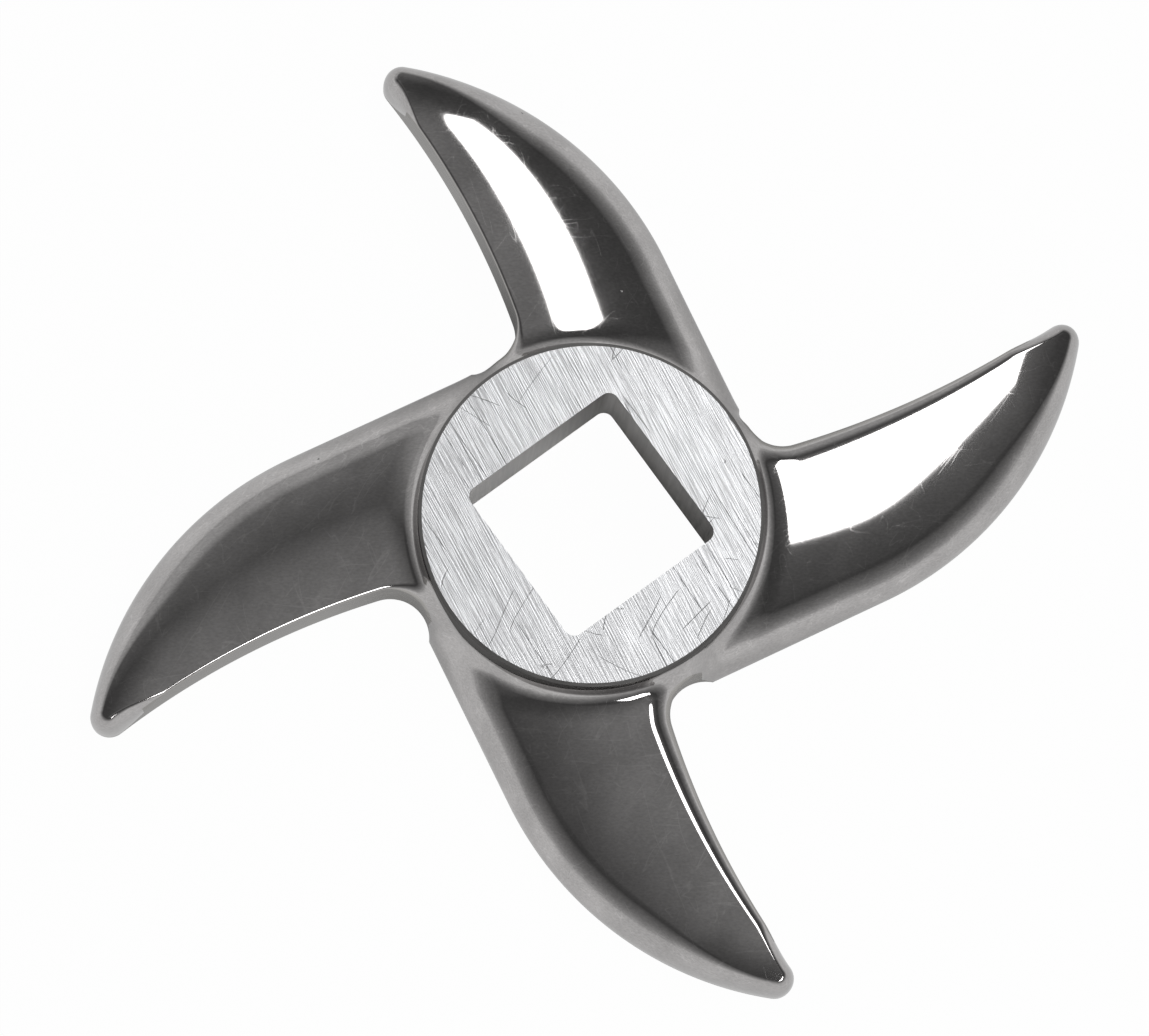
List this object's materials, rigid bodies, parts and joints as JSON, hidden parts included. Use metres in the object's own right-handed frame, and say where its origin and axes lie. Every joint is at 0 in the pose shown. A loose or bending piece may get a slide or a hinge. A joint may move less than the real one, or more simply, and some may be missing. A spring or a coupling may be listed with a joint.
{
  "type": "meat grinder knife",
  "caption": "Grinder knife with swept, crowned scimitar blades round a ground hub that is driven through a square hole.",
  "frame": {"origin": "on the axis of the square drive, in the plane of the cutting edges", "axes": "+Z along the axis towards the hub's ground face; the sides of the square lie along X and Y"},
  "size_m": [0.0764, 0.073, 0.011],
  "materials": {
    "knife": "blades polished to a mirror, hub face and underside ground"
  },
  "bodies": {
    "root": {"knife": "knife"}
  },
  "joints": []
}
